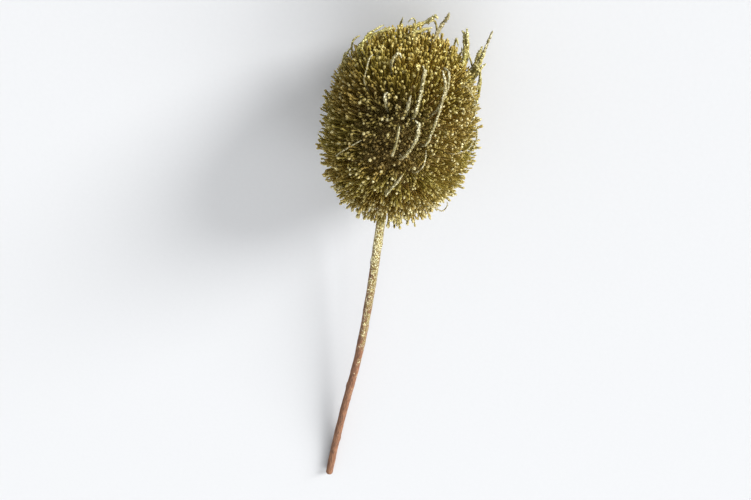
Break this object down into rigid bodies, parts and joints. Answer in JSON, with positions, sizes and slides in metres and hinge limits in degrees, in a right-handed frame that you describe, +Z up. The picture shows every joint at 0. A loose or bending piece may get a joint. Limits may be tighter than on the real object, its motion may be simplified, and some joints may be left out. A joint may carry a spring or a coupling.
{
  "type": "banksia flower",
  "caption": "Cut banksia flower, dried and gilded with glitter: a dense ovoid head of club-tipped florets on a bare woody stem, lying on its side.",
  "frame": {"origin": "middle of the footprint, on the surface that the flower lies on", "axes": "+Y from the cut end of the stem towards the crown of the head, +Z up from the surface, +X to the right of a viewer who looks along +Y"},
  "size_m": [0.1064, 0.4583, 0.0993],
  "materials": {
    "gilded_floret": "dried florets sprayed gold and covered with fine glitter",
    "stem_bark": "dry bark, gilded with glitter near the head and bare red-brown lower down"
  },
  "bodies": {
    "root": {"flower_head": "gilded_floret", "stem": "stem_bark"}
  },
  "joints": []
}
